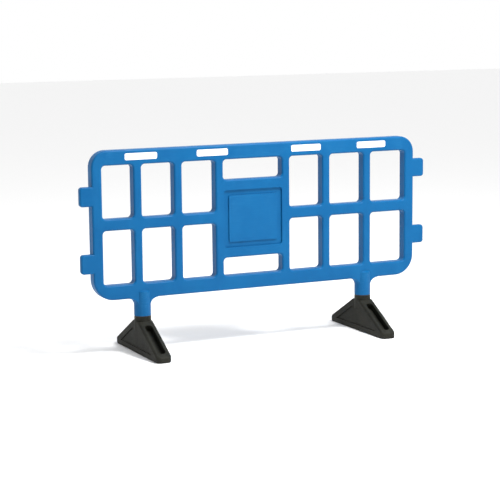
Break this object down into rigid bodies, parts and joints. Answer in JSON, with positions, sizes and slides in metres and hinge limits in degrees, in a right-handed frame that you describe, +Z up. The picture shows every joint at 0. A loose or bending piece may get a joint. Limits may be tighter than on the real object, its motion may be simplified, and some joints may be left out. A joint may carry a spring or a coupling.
{
  "type": "crowd control barrier",
  "caption": "Hollow plastic pedestrian barrier panel with open windows, a sunk centre frame, reflectors, lap tabs and swivelling moulded feet.",
  "frame": {"origin": "on the ground, below the middle of the barrier's length and of its feet", "axes": "+X along the panel, the front face looks along -Y, +Z up"},
  "size_m": [2, 0.6, 1.058],
  "materials": {
    "blue_polyethylene": "satin blow-moulded polyethylene",
    "white_reflector": "prismatic white reflector",
    "black_rubber": "matt recycled rubber",
    "black_nylon": "satin nylon",
    "zinc_steel": "zinc plated",
    "brass_insert": "turned brass"
  },
  "bodies": {
    "panel": {"barrier_panel": "blue_polyethylene", "reflector_front_1": "white_reflector", "reflector_front_2": "white_reflector", "reflector_front_3": "white_reflector", "reflector_front_4": "white_reflector", "reflector_back_1": "white_reflector", "reflector_back_2": "white_reflector", "reflector_back_3": "white_reflector", "reflector_back_4": "white_reflector", "foot_bolt_left": "zinc_steel", "bolt_washer_left": "zinc_steel", "threaded_insert_left": "brass_insert", "foot_bolt_right": "zinc_steel", "bolt_washer_right": "zinc_steel", "threaded_insert_right": "brass_insert"},
    "left_foot": {"foot_left": "black_rubber", "thrust_ring_left": "black_nylon"},
    "right_foot": {"foot_right": "black_rubber", "thrust_ring_right": "black_nylon"}
  },
  "joints": [
    {"name": "left_foot_swivel", "type": "hinge", "parent": "panel", "child": "left_foot", "pos_m": [-0.664, 0, 0.1], "axis": [0, 0, 1], "range_deg": [-90, 90]},
    {"name": "right_foot_swivel", "type": "hinge", "parent": "panel", "child": "right_foot", "pos_m": [0.632, 0, 0.1], "axis": [0, 0, 1], "range_deg": [-90, 90]}
  ]
}
